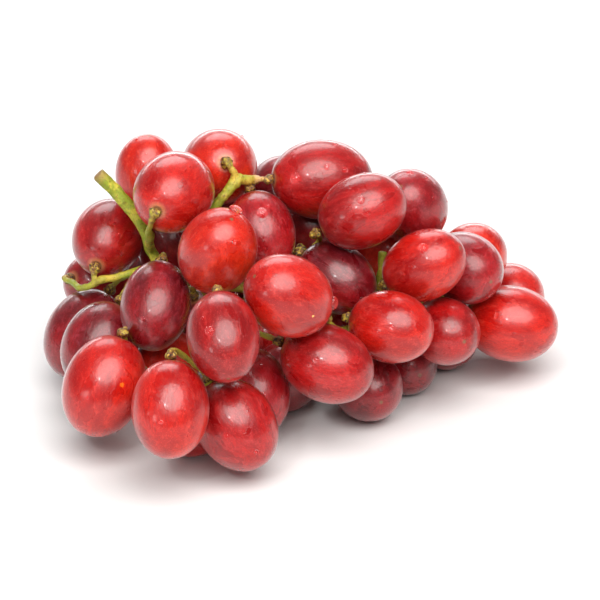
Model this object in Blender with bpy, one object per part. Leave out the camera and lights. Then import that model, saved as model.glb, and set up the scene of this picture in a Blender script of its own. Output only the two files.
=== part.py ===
"""A bunch of red grapes lying on its side on a surface. Metres, +Z up.

The berries that show from the front are placed from a view of the bunch: across and up are measured in the
plane of that view, and depth is counted towards the viewer. The berries behind them are filled in by a rule,
and the stem finds its way between the berries.
"""

import heapq
import math

import bmesh
import bpy
import numpy as np

MM = 0.001

# The view that the front berries are measured in.
VIEW_RAISE = math.radians(26.0)
VIEW_DISTANCE = 1200.0

# Gaps, in millimetres.
BERRY_GAP = 0.5
STEM_GAP = 0.45
FLOOR_CUT = 0.6

# The mesh of a berry.
BERRY_SIDES = 12
BERRY_RINGS = 7
ROUNDING = 1.012
DIMPLE_DEPTH = 0.5
NOSE_DEPTH = 0.25

# The surface that the bunch lies on, as a height in the measuring frame of the view.
FLOOR = -33.0

# The stalk from its cut end to the tip of the bunch: across, up, depth and radius.
STALK = [
    (-58.6, 36.5, 2.0, 2.0),
    (-53.7, 31.9, -0.5, 2.0),
    (-49.3, 26.7, -2.0, 2.0),
    (-47.0, 24.1, -3.0, 2.1),
    (-45.0, 19.7, -4.0, 1.5),
    (-43.3, 14.5, -5.5, 1.6),
    (-40.5, 9.5, -7.5, 1.7),
    (-34.0, 6.0, -9.0, 1.7),
    (-24.0, 4.5, -11.0, 1.6),
    (-10.0, 3.0, -13.0, 1.6),
    (6.0, -2.0, -14.0, 1.5),
    (22.0, 0.0, -16.0, 1.4),
    (36.0, 0.0, -19.0, 1.3),
    (46.5, 1.0, -24.0, 1.1),
]

# Side branches that show between the berries, from the stalk outwards: across, up, depth and radius.
BRANCHES = {
    "upper": [(-30.0, 6.5, -9.5, 1.5), (-27.5, 16.0, -5.0, 1.4), (-25.2, 26.0, -1.0, 1.4),
              (-22.4, 29.8, 0.5, 1.4), (-19.7, 33.2, 0.5, 1.4), (-18.2, 35.0, 0.0, 1.4)],
    "upper_right": [(-18.2, 35.0, 0.0, 1.4), (-15.0, 34.9, -2.0, 1.3), (-12.4, 35.0, -6.0, 1.3)],
    "left": [(-41.5, 10.5, -7.0, 1.2), (-47.9, 8.3, -7.0, 1.1), (-53.7, 6.4, -6.0, 1.1),
             (-58.0, 5.9, -5.0, 1.2)],
    "far_left": [(-58.0, 5.9, -5.0, 1.1), (-61.2, 3.8, -7.0, 1.0), (-64.0, 3.4, -11.0, 1.0),
                 (-65.8, 5.0, -17.0, 1.0)],
    "front": [(-43.3, 14.5, -5.5, 1.3), (-43.8, 15.5, 0.0, 1.2), (-43.4, 18.9, 8.0, 1.4),
              (-42.9, 21.5, 13.0, 1.1)],
    "middle": [(-10.0, 3.0, -13.0, 1.3), (-4.0, 9.0, -10.0, 1.2), (0.6, 15.6, -4.0, 1.2)],
    "right": [(22.0, 0.0, -16.0, 1.2), (22.6, 4.0, -8.0, 1.1), (23.6, 9.0, -4.0, 1.1),
              (24.0, 14.0, -2.5, 1.5)],
}

# How firmly and how often the depths of the front berries are fitted together.
FIT_ROUNDS = 1500
FIT_FREE_ROUNDS = 900
FIT_HOLD = 0.03
FIT_SHARE = 0.3
NO_LIFT = -1e9

# Berries behind the front ones: count, sizes, search grid, and distances from the stalk and from each other.
BERRY_COUNT = 59
BACK_SIZES = [(20.4, 25.0), (18.4, 22.4), (16.8, 20.4)]
BACK_STEP = 2.0
BACK_GRID = [(-72.0, 74.0), (-40.0, 66.0)]
BACK_HIGHEST = 45.0
BACK_NEAREST = 15.0
BACK_FARTHEST = 44.0
BACK_LEAN = (-6.0, 0.0, 0.0)
STALK_ROOM = 3.0
STUB_ROOM = 0.3
ACROSS_WEIGHT = 0.15
HEIGHT_WEIGHT = 0.1
BEHIND_REACH = 20.0
BEHIND_DEPTH = 4.0
FAR_APART = 36.0

# The view's grid that keeps the back berries out of sight, and the spot beside the stalk that stays open:
# centre across, centre up and radius.
MASK_STEP = 0.5
MASK_REACH = 90.0
MASK_EDGE = 0.3
MASK_TURNS = 10
OPEN_AIR = [(-50.5, 30.0, 5.0)]

# How a berry's short stalk leaves it.
STUB_LENGTH = 3.0
STUB_RADIUS = 1.5

# The stem's mesh and its ways between the berries, in millimetres.
STEM_SIDES = 6
STALK_STEP = 4.0
WAY_STEP = 1.25
WAY_POINT_STEP = 1.6
SMOOTH_PASSES = 8
SMOOTH_ROUNDS = 12
BEND_SHARE = 0.1
STRAIGHT_ENOUGH = 0.12
FREE_STALK = 5.0
CLOSEST_POINT = 1.6
SHORT_STALK = 0.85
MOST_ROOM = 6.0
LEAST_ROOM = 0.2
TIGHT_TOLL = 3.0
TIGHT_SLOPE = 12.0
OPEN_TOLL = 0.5
SHOWN_TOLL = 9.0
GRID_EDGE = 18.0
FIRST_OPEN_POINT = 3
THICKEST_BRANCH = 1.4
KNOB_RADIUS = 1.75
KNOB_GAP = 0.35
KNOB_HEIGHT = 1.1

# Colours and roughness of the plain materials.
SKIN_TONES = {"orange": (0.58, 0.04, 0.02), "red": (0.45, 0.018, 0.02), "dark": (0.26, 0.012, 0.02)}
SKIN_ROUGHNESS = 0.25
STEM_COLOUR = (0.30, 0.36, 0.07)
STEM_ROUGHNESS = 0.6

# The tone of the lighter front berries; all others are dark.
ORANGE_BERRIES = ["a", "b", "c", "j", "m", "q", "r", "s"]
RED_BERRIES = ["e", "f", "o", "t", "v", "w", "z", "aa", "bb"]

# Balls along the long axis that stand for a berry when berries are fitted together.
BALLS = 7

# Each front berry, in millimetres and degrees: centre across, centre up, width, length, direction to the stem
# end in the plane of the view (anticlockwise from the right), lean of the stem end towards the viewer, and a
# first value of the depth, which fitting the berries together refines.
FRONT_BERRIES = {
    "a": (-44.4, 36.8, 18.3, 23.4, 266, -24, -12),
    "b": (-36.5, 31.3, 23.0, 28.4, 232, 58, 5),
    "c": (-23.5, 38.6, 22.0, 27.0, 22, 80, -12),
    "d": (-5.0, 33.2, 17.6, 21.6, 190, -50, -37),
    "e": (6.4, 34.8, 23.2, 30.2, 180, 16, -14),
    "f": (18.0, 25.7, 21.4, 26.8, 205, -4, 5),
    "g": (32.2, 27.0, 21.2, 26.0, 300, -60, -12),
    "h": (-55.4, 18.0, 20.6, 26.0, 250, 47, -18),
    "i": (-58.0, 4.4, 18.6, 22.5, 170, 46, -36),
    "j": (-23.9, 14.2, 22.6, 28.4, 245, -45, 15),
    "k": (-11.3, 19.7, 19.8, 25.0, 105, -15, -2),
    "l": (-41.9, -1.6, 20.3, 28.1, 82, -28, 14),
    "m": (-3.3, 1.2, 23.5, 29.0, 330, -38, 24),
    "n": (10.7, 6.4, 19.8, 25.2, 145, -20, 4),
    "o": (36.0, 10.0, 20.4, 26.6, 206, -30, 3),
    "p": (47.9, 9.3, 20.4, 25.6, 150, -50, -15),
    "q": (50.2, 12.8, 19.2, 24.0, 200, -70, -35),
    "r": (60.6, 0.9, 19.8, 24.5, 190, -68, -45),
    "s": (60.9, -7.0, 22.0, 27.6, 170, -12, -26),
    "t": (26.4, -7.8, 20.9, 26.0, 168, -27, 10),
    "u": (42.0, -9.0, 19.4, 24.4, 150, -60, -9),
    "v": (7.8, -18.4, 22.4, 28.6, 155, -12, 19),
    "w": (-22.3, -10.6, 21.2, 28.5, 98, -30, 42),
    "x": (-62.6, -9.6, 22.0, 28.0, 60, -12, -19),
    "y": (-58.0, -13.3, 22.0, 27.0, 66, -8, 3),
    "z": (-56.8, -24.9, 23.8, 30.4, 70, -2, 24),
    "aa": (-37.6, -31.6, 22.6, 29.2, 90, -12, 46),
    "bb": (-18.6, -36.0, 23.2, 28.8, 122, -4, 33),
    "cc": (-13.3, -26.7, 20.8, 26.2, 100, -14, 14),
    "dd": (-4.1, -22.0, 20.2, 24.5, 35, -45, -7),
    "ee": (19.4, -24.7, 20.3, 24.8, 130, -60, -1.4),
    "ff": (30.2, -18.0, 18.6, 22.8, 140, -60, -17),
    "gg": (42.0, -11.0, 19.2, 23.4, 140, -60, -31),
    "hh": (-38.5, 15.5, 18.0, 22.0, 290, -40, -27),
    "ii": (-44.5, 7.0, 18.0, 22.0, 60, -40, -36),
    "jj": (-38.5, -19.0, 19.0, 23.0, 70, -40, 2),
    "kk": (-31.0, -36.0, 18.0, 22.0, 90, -60, 17),
    "ll": (2.4, 21.0, 19.6, 24.0, 200, -50, -22),
    "mm": (-9.0, -8.0, 18.0, 22.0, 90, -45, -22),
    "nn": (24.5, 13.5, 19.0, 23.0, 250, -20, -32),
}


def ball_chain(half_width, half_length):
    """Distances along the axis and radii of balls that together fill a berry."""
    waist = half_length ** 2 - half_width ** 2
    along = np.linspace(-1.0, 1.0, BALLS) * waist / half_length
    return along, half_width * np.sqrt(1.0 - along ** 2 / waist)


def view_axis(towards, lean):
    """Direction to the stem end, in view coordinates (across, up, depth)."""
    towards = math.radians(towards)
    lean = math.radians(lean)
    flat = math.cos(lean)
    return np.array([flat * math.cos(towards), flat * math.sin(towards), math.sin(lean)])


def to_world(points):
    """View coordinates (across, up, depth) to the bunch's own axes, both in millimetres."""
    points = np.atleast_2d(points)
    shrink = 1.0 - points[:, 2] / VIEW_DISTANCE
    across = points[:, 0] * shrink
    up = points[:, 1] * shrink
    depth = points[:, 2]
    sine = math.sin(VIEW_RAISE)
    cosine = math.cos(VIEW_RAISE)
    return np.stack([across, up * sine - depth * cosine, up * cosine + depth * sine], axis=1)


def turn_to_world(direction):
    """A direction in view coordinates to the bunch's own axes."""
    sine = math.sin(VIEW_RAISE)
    cosine = math.cos(VIEW_RAISE)
    across, up, depth = direction
    return np.array([across, up * sine - depth * cosine, up * cosine + depth * sine])


def needed_lift(ball_a, ball_b):
    """How far ball chain a has to lie in front of ball chain b, for each pair of balls."""
    place_a, radius_a = ball_a
    place_b, radius_b = ball_b
    reach = radius_a[:, None] + radius_b[None, :] + BERRY_GAP
    side = ((place_a[:, None, :2] - place_b[None, :, :2]) ** 2).sum(axis=2)
    inside = reach ** 2 - side
    lift = np.sqrt(np.maximum(inside, 0.0)) - place_a[:, None, 2] + place_b[None, :, 2]
    return float(np.where(inside > 0.0, lift, NO_LIFT).max())


def settle_depths(table, floor):
    """Depths that keep each front berry clear of the others, in the order that the view shows."""
    names = list(table)
    chains = []
    lowest = []
    for name in names:
        across, up, width, length, towards, lean, depth = table[name]
        axis = view_axis(towards, lean)
        along, radii = ball_chain(width / 2, length / 2)
        chains.append((np.array([across, up, 0.0]) + along[:, None] * axis, radii))
        raised = turn_to_world(axis)[2]
        drop = math.sqrt((length / 2 * raised) ** 2 + (width / 2) ** 2 * (1 - raised ** 2))
        lowest.append((floor - FLOOR_CUT + drop - up * math.cos(VIEW_RAISE)) / math.sin(VIEW_RAISE))
    first = np.array([table[name][6] for name in names], dtype=float)
    order = np.argsort(-first)
    pairs = []
    for rank, front in enumerate(order):
        for back in order[rank + 1:]:
            lift = needed_lift(chains[front], chains[back])
            if lift > NO_LIFT:
                pairs.append((front, back, lift))
    depth = first.copy()
    lowest = np.array(lowest)
    for step in range(FIT_ROUNDS):
        pull = FIT_HOLD * max(0.0, 1.0 - step / FIT_FREE_ROUNDS)
        depth += pull * (first - depth)
        for front, back, lift in pairs:
            short = lift - (depth[front] - depth[back])
            if short > 0.0:
                depth[front] += FIT_SHARE * short
                depth[back] -= FIT_SHARE * short
        depth = np.maximum(depth, lowest)
    return dict(zip(names, depth))


def berry_solid(centre, axis, width, length):
    """A berry as its centre, the direction to its stem end and its half sizes, in millimetres."""
    return {"centre": np.array(centre, dtype=float), "axis": np.array(axis, dtype=float),
            "half_width": width / 2, "half_length": length / 2}


def berry_balls(berry):
    """Ball centres and radii that together fill a berry."""
    along, radii = ball_chain(berry["half_width"], berry["half_length"])
    return berry["centre"] + along[:, None] * berry["axis"], radii


def stub_place(berry):
    """The middle of the piece of short stalk that leaves a berry's stem end."""
    return berry["centre"] + berry["axis"] * (berry["half_length"] + STUB_LENGTH * 0.6)


def lowest_point(berry):
    """Height of a berry's lowest point."""
    raised = berry["axis"][2]
    drop = math.sqrt((berry["half_length"] * raised) ** 2 + berry["half_width"] ** 2 * (1 - raised ** 2))
    return berry["centre"][2] - drop


def front_berries():
    """The berries that show from the front, in the order of the list."""
    depths = settle_depths(FRONT_BERRIES, FLOOR)
    berries = {}
    for name, (across, up, width, length, towards, lean, first) in FRONT_BERRIES.items():
        centre = to_world([across, up, depths[name]])[0]
        axis = turn_to_world(view_axis(towards, lean))
        shrink = 1.0 - depths[name] / VIEW_DISTANCE
        berries[name] = berry_solid(centre, axis, width * shrink, length * shrink)
    return berries


def nearest_on_line(points, line):
    """The nearest points on a polyline, and their distances."""
    best = np.full(len(points), np.inf)
    place = np.zeros((len(points), 3))
    for start, end in zip(line[:-1], line[1:]):
        run = end - start
        share = np.clip(((points - start) @ run) / (run @ run), 0.0, 1.0)
        spot = start + share[:, None] * run
        distance = np.linalg.norm(points - spot, axis=1)
        nearer = distance < best
        best = np.where(nearer, distance, best)
        place = np.where(nearer[:, None], spot, place)
    return place, best


def ease_apart(berries, rounds):
    """Moves berries that are closer than the gap apart by the small amounts that are missing."""
    names = list(berries)
    for step in range(rounds):
        moved = 0.0
        for i, first in enumerate(names):
            place_a, radius_a = berry_balls(berries[first])
            for second in names[i + 1:]:
                between = berries[second]["centre"] - berries[first]["centre"]
                if between @ between > FAR_APART ** 2:
                    continue
                place_b, radius_b = berry_balls(berries[second])
                offset = place_b[None, :, :] - place_a[:, None, :]
                distance = np.linalg.norm(offset, axis=2)
                room = distance - radius_a[:, None] - radius_b[None, :]
                spot = np.unravel_index(room.argmin(), room.shape)
                short = BERRY_GAP - room[spot]
                if short > 0.0:
                    push = offset[spot] / distance[spot] * short * 0.5
                    berries[first]["centre"] = berries[first]["centre"] - push
                    berries[second]["centre"] = berries[second]["centre"] + push
                    place_a = place_a - push
                    moved = max(moved, short)
        for name in names:
            low = FLOOR - FLOOR_CUT - lowest_point(berries[name])
            if low > 0.0:
                berries[name]["centre"][2] += low
        if moved < 0.002:
            break
    return moved


def outline_mask(berries):
    """A grid over the view that is true where the front berries cover it or enclose it."""
    size = int(2 * MASK_REACH / MASK_STEP)
    grid = (np.arange(size) + 0.5) * MASK_STEP - MASK_REACH
    across, up = np.meshgrid(grid, grid, indexing="ij")
    mask = np.zeros((size, size), dtype=bool)
    for berry in berries.values():
        places, radii = berry_balls(berry)
        for place, radius in zip(to_view(places), radii):
            mask |= (across - place[0]) ** 2 + (up - place[1]) ** 2 < radius ** 2
    enclosed = np.ones_like(mask)
    for axis in (0, 1):
        turned = np.flip(mask, axis)
        enclosed &= np.maximum.accumulate(mask, axis=axis)
        enclosed &= np.flip(np.maximum.accumulate(turned, axis=axis), axis)
    for spot_across, spot_up, radius in OPEN_AIR:
        enclosed &= np.hypot(across - spot_across, up - spot_up) > radius
    return enclosed


def to_view(points):
    """The bunch's own axes to view coordinates, both in millimetres."""
    points = np.atleast_2d(points)
    sine = math.sin(VIEW_RAISE)
    cosine = math.cos(VIEW_RAISE)
    up = points[:, 1] * sine + points[:, 2] * cosine
    depth = points[:, 2] * sine - points[:, 1] * cosine
    grow = 1.0 / (1.0 - depth / VIEW_DISTANCE)
    return np.stack([points[:, 0] * grow, up * grow, depth], axis=1)


def back_berries(front, stalk):
    """Fills the bunch behind the front berries with larger berries first, then with smaller ones."""
    found = {}
    for width, length in BACK_SIZES:
        fill_behind(front, found, stalk, width, length)
    return found


def possible_places(stalk, width, length):
    """Centres and directions to the stem end of berries of one size that could hang on the stalk."""
    low = FLOOR - FLOOR_CUT + width / 2
    axes = [np.arange(*BACK_GRID[0], BACK_STEP), np.arange(*BACK_GRID[1], BACK_STEP)]
    axes.append(np.arange(low, BACK_HIGHEST, BACK_STEP))
    grid = np.stack(np.meshgrid(*axes, indexing="ij"), axis=-1).reshape(-1, 3)
    place, distance = nearest_on_line(grid, stalk)
    keep = (distance > BACK_NEAREST) & (distance < BACK_FARTHEST)
    grid = grid[keep]
    inward = place[keep] - grid + np.array(BACK_LEAN)
    inward /= np.linalg.norm(inward, axis=1)[:, None]
    drop = np.sqrt((length / 2 * inward[:, 2]) ** 2 + (width / 2) ** 2 * (1 - inward[:, 2] ** 2))
    on_floor = grid[:, 2] - drop < FLOOR - FLOOR_CUT + BACK_STEP * 0.6
    grid[:, 2] = np.where(on_floor, FLOOR - FLOOR_CUT + drop, grid[:, 2])
    return grid, inward, distance[keep]


def out_of_sight(grid, balls, radii, front):
    """Which of many possible berries stay inside the outline of the front berries and behind them."""
    mask = outline_mask(front)
    hidden = np.ones(len(grid), dtype=bool)
    for n in range(BALLS):
        seen = to_view(balls[:, n, :])
        for turn in range(MASK_TURNS):
            angle = turn * 2 * math.pi / MASK_TURNS
            across = seen[:, 0] + (radii[n] - MASK_EDGE) * math.cos(angle)
            up = seen[:, 1] + (radii[n] - MASK_EDGE) * math.sin(angle)
            column = np.clip(((across + MASK_REACH) / MASK_STEP).astype(int), 0, len(mask) - 1)
            row = np.clip(((up + MASK_REACH) / MASK_STEP).astype(int), 0, len(mask) - 1)
            hidden &= mask[column, row]
    seen = to_view(grid)
    for berry in front.values():
        spot = to_view(berry["centre"])[0]
        near = np.hypot(seen[:, 0] - spot[0], seen[:, 1] - spot[1]) < BEHIND_REACH
        hidden &= ~(near & (seen[:, 2] > spot[2] - BEHIND_DEPTH))
    return hidden


def fill_behind(front, found, stalk, width, length):
    """Adds berries of one size, nearest the stalk first, where they stay out of sight from the front."""
    line = stalk[4:]
    grid, inward, distance = possible_places(line, width, length)
    along, radii = ball_chain(width / 2, length / 2)
    balls = grid[:, None, :] + along[None, :, None] * inward[:, None, :]
    stubs = grid + inward * (length / 2 + STUB_LENGTH * 0.6)
    free = out_of_sight(grid, balls, radii, front)
    for spot in even_points(line, 2.0):
        gap = np.linalg.norm(balls - spot, axis=2) - radii
        free &= gap.min(axis=1) > STALK_ROOM
    for berry in list(front.values()) + list(found.values()):
        free &= keeps_clear(balls, radii, stubs, berry)
    middle_out = ACROSS_WEIGHT * np.abs(grid[:, 0] + 5.0) + HEIGHT_WEIGHT * (grid[:, 2] - FLOOR)
    while free.any() and len(front) + len(found) < BERRY_COUNT:
        best = int(np.where(free, distance + middle_out, np.inf).argmin())
        berry = berry_solid(grid[best], inward[best], width, length)
        found[f"back_{len(found) + 1:02d}"] = berry
        free[best] = False
        free &= keeps_clear(balls, radii, stubs, berry)


def keeps_clear(balls, radii, stubs, berry):
    """Which of many possible berries, given by their balls, keep clear of one berry and its short stalk."""
    places, sizes = berry_balls(berry)
    clear = np.ones(len(balls), dtype=bool)
    near = np.linalg.norm(balls[:, BALLS // 2, :] - berry["centre"], axis=1) < FAR_APART
    chosen = balls[near]
    good = np.ones(len(chosen), dtype=bool)
    for place, size in zip(places, sizes):
        gap = np.linalg.norm(chosen - place, axis=2) - radii - size
        good &= gap.min(axis=1) > BERRY_GAP
        good &= np.linalg.norm(stubs[near] - place, axis=1) - size > STUB_RADIUS + STUB_ROOM
    gap = np.linalg.norm(chosen - stub_place(berry), axis=2) - radii
    good &= gap.min(axis=1) > STUB_RADIUS + STUB_ROOM
    clear[near] = good
    return clear


class Stem:
    """The stem as a tree of points: place, radius and the point that each one grows from."""

    def __init__(self):
        self.places = []
        self.radii = []
        self.parents = []

    def add(self, place, radius, parent):
        self.places.append(np.array(place, dtype=float))
        self.radii.append(radius)
        self.parents.append(parent)
        return len(self.places) - 1

    def nearest(self, place):
        """The nearest point of the tree."""
        return int(np.linalg.norm(np.array(self.places) - place, axis=1).argmin())


def split_line(rows, step):
    """Points with radii along a polyline in view coordinates, at most a step apart, in world millimetres."""
    rows = np.array(rows, dtype=float)
    places = to_world(rows[:, :3])
    out = [(places[0], rows[0, 3])]
    for n in range(len(rows) - 1):
        count = max(1, int(math.ceil(np.linalg.norm(places[n + 1] - places[n]) / step)))
        for k in range(1, count + 1):
            share = k / count
            place = places[n] * (1 - share) + places[n + 1] * share
            out.append((place, rows[n, 3] * (1 - share) + rows[n + 1, 3] * share))
    return out


class Room:
    """How much room there is around any place, from the balls of all berries."""

    def __init__(self, berries):
        balls = [berry_balls(berry) for berry in berries.values()]
        self.centres = np.concatenate([places for places, radii in balls])
        self.radii = np.concatenate([radii for places, radii in balls])
        self.fronts = self.nearest_surface()

    def nearest_surface(self):
        """How far the berries reach towards the viewer, at every point of the view's grid."""
        size = int(2 * MASK_REACH / MASK_STEP)
        grid = (np.arange(size) + 0.5) * MASK_STEP - MASK_REACH
        across, up = np.meshgrid(grid, grid, indexing="ij")
        fronts = np.full((size, size), -MASK_REACH)
        for place, radius in zip(to_view(self.centres), self.radii):
            inside = radius ** 2 - (across - place[0]) ** 2 - (up - place[1]) ** 2
            fronts = np.maximum(fronts, np.where(inside > 0.0, place[2] + np.sqrt(np.maximum(inside, 0.0)), fronts))
        return fronts

    def shown(self, points):
        """Which points lie in front of all berries in the view."""
        seen = to_view(points)
        cells = np.clip(((seen[:, :2] + MASK_REACH) / MASK_STEP).astype(int), 0, len(self.fronts) - 1)
        return seen[:, 2] > self.fronts[cells[:, 0], cells[:, 1]]

    def at(self, points):
        """Distance from each point to the nearest berry, or to the floor."""
        points = np.atleast_2d(points)
        gap = np.linalg.norm(points[:, None, :] - self.centres[None, :, :], axis=2) - self.radii
        return np.minimum(gap.min(axis=1), points[:, 2] - FLOOR)

    def grid(self, low, high, step):
        """The room at every point of a grid, up to a largest value."""
        shape = np.ceil((high - low) / step).astype(int) + 1
        room = np.full(shape, MOST_ROOM)
        for centre, radius in zip(self.centres, self.radii):
            first = np.maximum(np.floor((centre - radius - MOST_ROOM - low) / step).astype(int), 0)
            last = np.minimum(np.ceil((centre + radius + MOST_ROOM - low) / step).astype(int) + 1, shape)
            spans = [(low[k] + step * np.arange(first[k], last[k]) - centre[k]) ** 2 for k in range(3)]
            gap = np.sqrt(spans[0][:, None, None] + spans[1][None, :, None] + spans[2][None, None, :])
            box = tuple(slice(first[k], last[k]) for k in range(3))
            room[box] = np.minimum(room[box], gap - radius)
        return room

    def shown_grid(self, low, shape, step):
        """Which points of a grid lie in front of all berries in the view."""
        spans = [low[k] + step * np.arange(shape[k]) for k in range(3)]
        points = np.stack(np.meshgrid(*spans, indexing="ij"), axis=-1).reshape(-1, 3)
        return self.shown(points).reshape(shape)


def find_way(room_grid, shown_grid, low, step, start, goals, need):
    """The shortest way through the grid from a start to any goal, with the needed room and mostly out of sight."""
    shape = room_grid.shape
    goal_cells = {}
    for number, place in goals:
        cell = tuple(np.round((place - low) / step).astype(int))
        goal_cells.setdefault(cell, number)
    first = tuple(np.round((start - low) / step).astype(int))
    moves = [(x, y, z) for x in (-1, 0, 1) for y in (-1, 0, 1) for z in (-1, 0, 1) if (x, y, z) != (0, 0, 0)]
    lengths = [math.sqrt(x * x + y * y + z * z) for x, y, z in moves]
    best = {first: 0.0}
    before = {}
    queue = [(0.0, first)]
    done = set()
    while queue:
        cost, cell = heapq.heappop(queue)
        if cell in done:
            continue
        done.add(cell)
        if cell in goal_cells:
            way = [cell]
            while cell in before:
                cell = before[cell]
                way.append(cell)
            return goal_cells[way[0]], [low + step * np.array(c) for c in reversed(way)]
        for (x, y, z), length in zip(moves, lengths):
            other = (cell[0] + x, cell[1] + y, cell[2] + z)
            if other in done or min(other) < 0 or any(a >= b for a, b in zip(other, shape)):
                continue
            room = room_grid[other]
            if other in goal_cells:
                toll = 1.0
            elif room < need:
                if room < LEAST_ROOM:
                    continue
                toll = 1.0 + TIGHT_TOLL + TIGHT_SLOPE * (need - room) ** 2
            else:
                toll = 1.0 + OPEN_TOLL / (0.3 + room)
            if shown_grid[other]:
                toll += SHOWN_TOLL
            price = cost + length * toll
            if price < best.get(other, 1e18):
                best[other] = price
                before[other] = cell
                heapq.heappush(queue, (price, other))
    return None, []


def clear_of_berries(room, places, radii, rounds):
    """Moves points of a line out of the berries until each keeps its own radius and the gap."""
    places = np.array(places, dtype=float)
    radii = np.array(radii, dtype=float)
    small = 0.05
    for step in range(rounds):
        short = radii + STEM_GAP - room.at(places)
        if short.max() <= 0.01:
            break
        slope = np.zeros_like(places)
        for axis in range(3):
            nudge = np.zeros(3)
            nudge[axis] = small
            slope[:, axis] = room.at(places + nudge) - room.at(places - nudge)
        size = np.linalg.norm(slope, axis=1)
        slope /= np.maximum(size, 1e-6)[:, None]
        places += slope * np.clip(short, 0.0, 0.6)[:, None]
    return places


def line_is_free(room, start, end, need, hidden):
    """Whether a straight piece keeps the needed room, and stays out of sight where it has to."""
    count = max(2, int(np.linalg.norm(end - start) / 0.6) + 1)
    share = np.linspace(0.0, 1.0, count)[:, None]
    points = start * (1 - share) + end * share
    return room.at(points).min() >= need and not (hidden and room.shown(points).any())


def pull_straight(room, way, need):
    """Drops the points of a way that a free straight piece can skip."""
    kept = [way[0]]
    at = 0
    shown = room.shown(np.array(way))
    while at < len(way) - 1:
        far = len(way) - 1
        while far > at + 1 and not line_is_free(room, way[at], way[far], need, not shown[at:far + 1].any()):
            far -= 1
        kept.append(way[far])
        at = far
    return kept


def even_points(way, step):
    """The same line with evenly spaced points."""
    lengths = np.concatenate([[0.0], np.cumsum(np.linalg.norm(np.diff(way, axis=0), axis=1))])
    count = max(1, int(round(lengths[-1] / step)))
    spots = np.linspace(0.0, lengths[-1], count + 1)
    return np.stack([np.interp(spots, lengths, way[:, axis]) for axis in range(3)], axis=1)


def smooth_way(room, way):
    """Rounds the bends of a way, with its first two points and its last one held, clear of the berries."""
    for pass_number in range(SMOOTH_PASSES):
        way = np.concatenate([way[:1], even_points(way[1:], WAY_POINT_STEP)])
        radii = [SHORT_STALK] * (len(way) - 3)
        if not radii:
            return way
        for step in range(SMOOTH_ROUNDS):
            long = np.concatenate([way, [2 * way[-1] - way[-2]]])
            bend = long[:-4] - 4 * long[1:-3] + 6 * long[2:-2] - 4 * long[3:-1] + long[4:]
            way[2:-1] -= BEND_SHARE * bend
        way[2:-1] = clear_of_berries(room, way[2:-1], radii, 20)
    return way


def drop_straight_points(way, allowed):
    """Leaves out points that lie nearly on the straight between their neighbours."""
    if len(way) < 3:
        return list(way)
    run = way[-1] - way[0]
    share = np.clip((way - way[0]) @ run / (run @ run), 0.0, 1.0)
    off = np.linalg.norm(way - way[0] - share[:, None] * run, axis=1)
    worst = int(off.argmax())
    if off[worst] < allowed:
        return [way[0], way[-1]]
    return drop_straight_points(way[:worst + 1], allowed)[:-1] + drop_straight_points(way[worst:], allowed)


def grow_fixed_lines(stem, room):
    """The stalk and the side branches that are given by hand."""
    lines = []
    for rows in [STALK] + list(BRANCHES.values()):
        rows = split_line(rows, STALK_STEP)
        places = clear_of_berries(room, [row[0] for row in rows], [row[1] for row in rows], 30)
        parent = None
        numbers = []
        if lines:
            parent = stem.nearest(places[0])
            numbers = [parent]
            places = places[1:]
            rows = rows[1:]
        for place, (old, radius) in zip(places, rows):
            parent = stem.add(place, radius, parent)
            numbers.append(parent)
        lines.append(numbers)
    return lines


def grow_stem(berries):
    """The whole stem: the stalk, the side branches and a way from every berry to the nearest of them."""
    room = Room(berries)
    stem = Stem()
    lines = grow_fixed_lines(stem, room)
    low = room.centres.min(axis=0) - GRID_EDGE
    high = room.centres.max(axis=0) + GRID_EDGE
    low[2] = FLOOR
    grid = room.grid(low, high, WAY_STEP)
    shown = room.shown_grid(low, grid.shape, WAY_STEP)
    open_points = list(range(FIRST_OPEN_POINT, len(stem.places)))
    waiting = dict(berries)
    need = SHORT_STALK + STEM_GAP
    while waiting:
        tree = np.array([stem.places[n] for n in open_points])
        name = min(waiting, key=lambda key: np.linalg.norm(tree - stub_place(waiting[key]), axis=1).min())
        berry = waiting.pop(name)
        tip, knob, leave, start = [berry["centre"] + berry["axis"] * (berry["half_length"] + KNOB_GAP + out)
                                   for out in (0.0, KNOB_HEIGHT, 2 * KNOB_HEIGHT, STUB_LENGTH)]
        goals = [(n, stem.places[n]) for n in open_points]
        goal, way = find_way(grid, shown, low, WAY_STEP, start, goals, need)
        if goal is None:
            raise RuntimeError(f"no way from the stalk to berry {name}")
        way = pull_straight(room, [start] + way[1:-1] + [stem.places[goal]], need * 0.95)
        way = np.concatenate([[knob, leave], way])
        way = drop_straight_points(smooth_way(room, way)[1:], STRAIGHT_ENOUGH)
        while len(way) > 2 and np.linalg.norm(way[1] - leave) < CLOSEST_POINT:
            way.pop(1)
        numbers = [goal]
        for place in way[-2:0:-1]:
            numbers.append(stem.add(place, SHORT_STALK, numbers[-1]))
            if np.linalg.norm(place - tip) > FREE_STALK:
                open_points.append(numbers[-1])
        for place, radius in ((leave, SHORT_STALK), (knob, KNOB_RADIUS * 0.85), (tip, KNOB_RADIUS)):
            numbers.append(stem.add(place, radius, numbers[-1]))
        lines.append(numbers)
    return stem, lines, room


def frame_across(direction):
    """Two directions at right angles to a given one."""
    helper = np.array([0.0, 0.0, 1.0]) if abs(direction[2]) < 0.9 else np.array([1.0, 0.0, 0.0])
    side = np.cross(direction, helper)
    side /= np.linalg.norm(side)
    return side, np.cross(direction, side)


def new_material(name, colour, roughness):
    """A plain material."""
    material = bpy.data.materials.new(name)
    material.use_nodes = True
    shader = material.node_tree.nodes["Principled BSDF"]
    shader.inputs["Base Color"].default_value = (*colour, 1.0)
    shader.inputs["Roughness"].default_value = roughness
    material.diffuse_color = (*colour, 1.0)
    return material


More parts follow.
